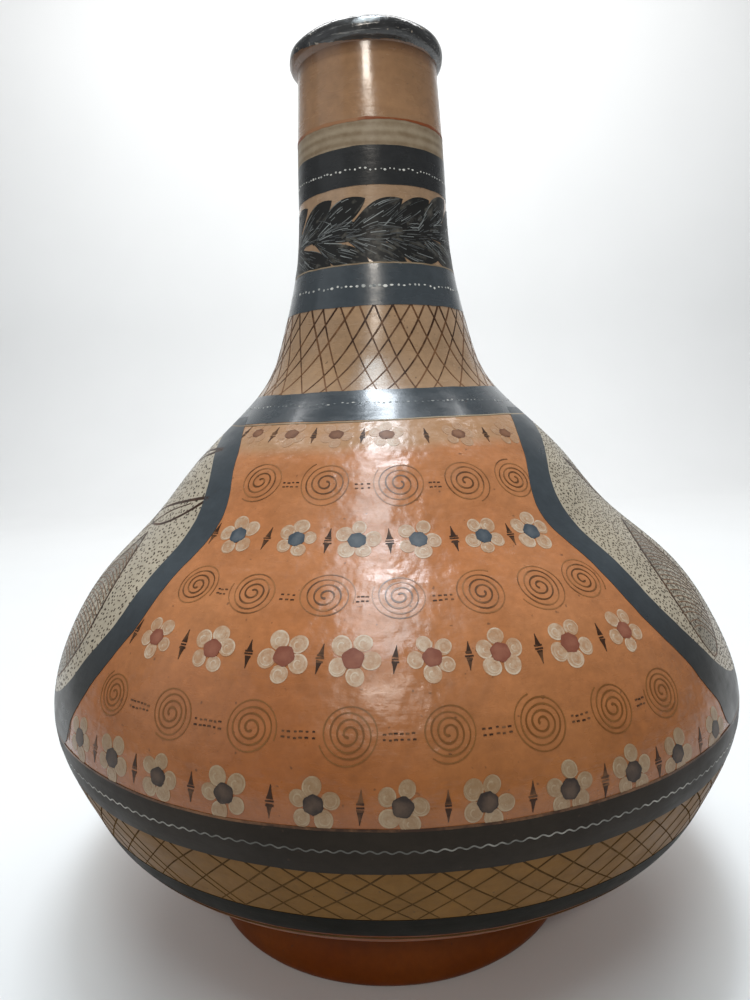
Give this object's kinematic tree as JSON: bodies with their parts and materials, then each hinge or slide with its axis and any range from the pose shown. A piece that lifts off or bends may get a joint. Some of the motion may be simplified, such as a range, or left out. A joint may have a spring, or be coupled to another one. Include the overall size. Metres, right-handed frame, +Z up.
{
  "type": "bottle vase",
  "caption": "Round-bellied clay bottle vase with a tall neck, rolled lip and foot ring, slip-painted and burnished.",
  "frame": {"origin": "centre of the foot ring's resting face, on the vase's axis", "axes": "+Z up along the vase's axis, -Y towards the middle of a flowered panel, +X and -X towards the stippled panels"},
  "size_m": [0.3628, 0.3628, 0.46],
  "materials": {
    "foot_terracotta": "plain burnished terracotta",
    "orange_slip": "burnished orange slip",
    "tan_slip": "burnished tan slip",
    "black_slip": "burnished black slip",
    "slate_slip": "burnished slate grey slip",
    "cream_slip": "thin cream brushwork",
    "brown_slip": "dark brown brushwork",
    "red_slip": "red-brown brushwork"
  },
  "bodies": {
    "root": {"foot_ring": "foot_terracotta", "lower_bowl": "orange_slip", "upper_dome": "orange_slip", "neck": "tan_slip", "lip_roll": "black_slip"}
  },
  "joints": []
}
